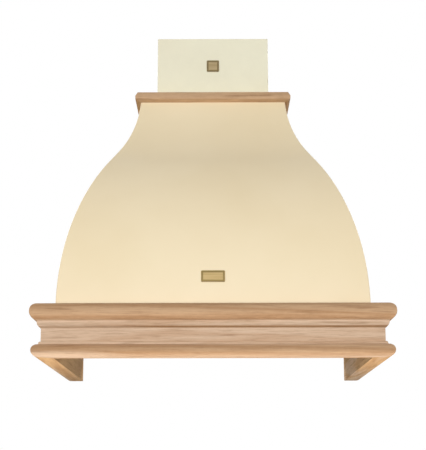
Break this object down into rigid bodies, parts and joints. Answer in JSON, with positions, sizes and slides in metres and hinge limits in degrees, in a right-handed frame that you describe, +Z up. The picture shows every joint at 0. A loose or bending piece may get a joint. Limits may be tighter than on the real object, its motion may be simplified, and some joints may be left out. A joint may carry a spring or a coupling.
{
  "type": "bell-shaped wall extractor hood with wood trim",
  "caption": "Wall-mounted bell-shaped kitchen extractor hood of painted steel with a beech moulding frame, chimney cover, tilting grease filters and centrifugal blower.",
  "frame": {"origin": "centre of the four wall fixing holes, in the wall plane", "axes": "+X right seen from the room, +Y into the wall, +Z up"},
  "size_m": [0.6, 0.47, 0.6549],
  "materials": {
    "cream_enamel": "satin cream enamel",
    "chimney_enamel": "satin cream enamel",
    "beech": "unfinished fine-grained beech",
    "brass_plate": "aged satin brass",
    "satin_steel": "satin",
    "filter_aluminium": "mill finish",
    "catch_metal": "polished",
    "lens_glass": "frosted",
    "lamp_metal": "cast, satin",
    "switch_plastic": "fine texture",
    "button_plastic": "smooth",
    "zinc_steel": "zinc coated",
    "screw_steel": "bright",
    "motor_paint": "black",
    "impeller_plastic": "moulded",
    "nut_brass": "turned",
    "collar_plastic": "moulded",
    "wiring_plastic": "moulded"
  },
  "bodies": {
    "hood": {"canopy_front_panel": "cream_enamel", "canopy_left_panel": "cream_enamel", "canopy_right_panel": "cream_enamel", "canopy_back_panel": "cream_enamel", "canopy_top_plate": "cream_enamel", "chimney_cover": "chimney_enamel", "frame_front_rail": "beech", "frame_left_rail": "beech", "frame_right_rail": "beech", "frame_mitre_tongues": "beech", "neck_trim_front": "beech", "neck_trim_left": "beech", "neck_trim_right": "beech", "lower_nameplate": "brass_plate", "upper_nameplate": "brass_plate", "filter_pan": "satin_steel", "lamp_bezels": "satin_steel", "lamp_lenses": "lens_glass", "lamp_bodies": "lamp_metal", "capacitor": "lamp_metal", "switch_panel": "switch_plastic", "switch_box": "switch_plastic", "scroll_wrap": "zinc_steel", "scroll_left_side": "zinc_steel", "scroll_right_side": "zinc_steel", "scroll_flange": "zinc_steel", "inlet_ring": "zinc_steel", "blower_hangers": "zinc_steel", "wall_doublers": "zinc_steel", "capacitor_clip": "zinc_steel", "frame_screws": "screw_steel", "pan_screws": "screw_steel", "blower_screws": "screw_steel", "chimney_screws": "screw_steel", "flap_pin": "screw_steel", "motor": "motor_paint", "outlet_collar": "collar_plastic", "wiring_box": "wiring_plastic", "wiring_lid": "wiring_plastic", "terminal_block": "wiring_plastic", "cable_gland": "wiring_plastic"},
    "chimney_sleeve": {"chimney_sleeve": "chimney_enamel"},
    "left_filter": {"left_filter_frame": "filter_aluminium", "left_filter_mesh": "filter_aluminium"},
    "right_filter": {"right_filter_frame": "filter_aluminium", "right_filter_mesh": "filter_aluminium"},
    "left_catch": {"left_filter_latch": "catch_metal"},
    "right_catch": {"right_filter_latch": "catch_metal"},
    "impeller": {"impeller": "impeller_plastic", "motor_shaft": "screw_steel", "hub_nut": "nut_brass"},
    "front_flap": {"front_flap": "collar_plastic"},
    "rear_flap": {"rear_flap": "collar_plastic"},
    "button_1": {"button_1": "button_plastic"},
    "button_2": {"button_2": "button_plastic"},
    "button_3": {"button_3": "button_plastic"},
    "button_4": {"button_4": "button_plastic"},
    "button_5": {"button_5": "button_plastic"}
  },
  "joints": [
    {"name": "chimney_slide", "type": "slide", "parent": "hood", "child": "chimney_sleeve", "axis": [0, 0, 1], "range_m": [0, 0.09]},
    {"name": "left_filter_tilt", "type": "hinge", "parent": "hood", "child": "left_filter", "pos_m": [-0.126, -0.0531, -0.2155], "axis": [1, 0, 0], "range_deg": [0, 75]},
    {"name": "right_filter_tilt", "type": "hinge", "parent": "hood", "child": "right_filter", "pos_m": [0.126, -0.0531, -0.2155], "axis": [1, 0, 0], "range_deg": [0, 75]},
    {"name": "left_catch_slide", "type": "slide", "parent": "left_filter", "child": "left_catch", "axis": [0, 1, 0], "range_m": [0, 0.0055], "stiffness_N_per_m": 400, "springref_m": -0.002},
    {"name": "right_catch_slide", "type": "slide", "parent": "right_filter", "child": "right_catch", "axis": [0, 1, 0], "range_m": [0, 0.0055], "stiffness_N_per_m": 400, "springref_m": -0.002},
    {"name": "button_1_press", "type": "slide", "parent": "hood", "child": "button_1", "axis": [0, 0, 1], "range_m": [0, 0.003], "stiffness_N_per_m": 500, "springref_m": -0.001},
    {"name": "button_2_press", "type": "slide", "parent": "hood", "child": "button_2", "axis": [0, 0, 1], "range_m": [0, 0.003], "stiffness_N_per_m": 500, "springref_m": -0.001},
    {"name": "button_3_press", "type": "slide", "parent": "hood", "child": "button_3", "axis": [0, 0, 1], "range_m": [0, 0.003], "stiffness_N_per_m": 500, "springref_m": -0.001},
    {"name": "button_4_press", "type": "slide", "parent": "hood", "child": "button_4", "axis": [0, 0, 1], "range_m": [0, 0.003], "stiffness_N_per_m": 500, "springref_m": -0.001},
    {"name": "button_5_press", "type": "slide", "parent": "hood", "child": "button_5", "axis": [0, 0, 1], "range_m": [0, 0.003], "stiffness_N_per_m": 500, "springref_m": -0.001},
    {"name": "impeller_spin", "type": "hinge", "parent": "hood", "child": "impeller", "pos_m": [0, -0.165, -0.01], "axis": [1, 0, 0], "continuous": true},
    {"name": "front_flap_lift", "type": "hinge", "parent": "hood", "child": "front_flap", "pos_m": [0, -0.095, 0.2754], "axis": [-1, 0, 0], "range_deg": [0, 75]},
    {"name": "rear_flap_lift", "type": "hinge", "parent": "hood", "child": "rear_flap", "pos_m": [0, -0.095, 0.2754], "axis": [1, 0, 0], "range_deg": [0, 75]}
  ]
}
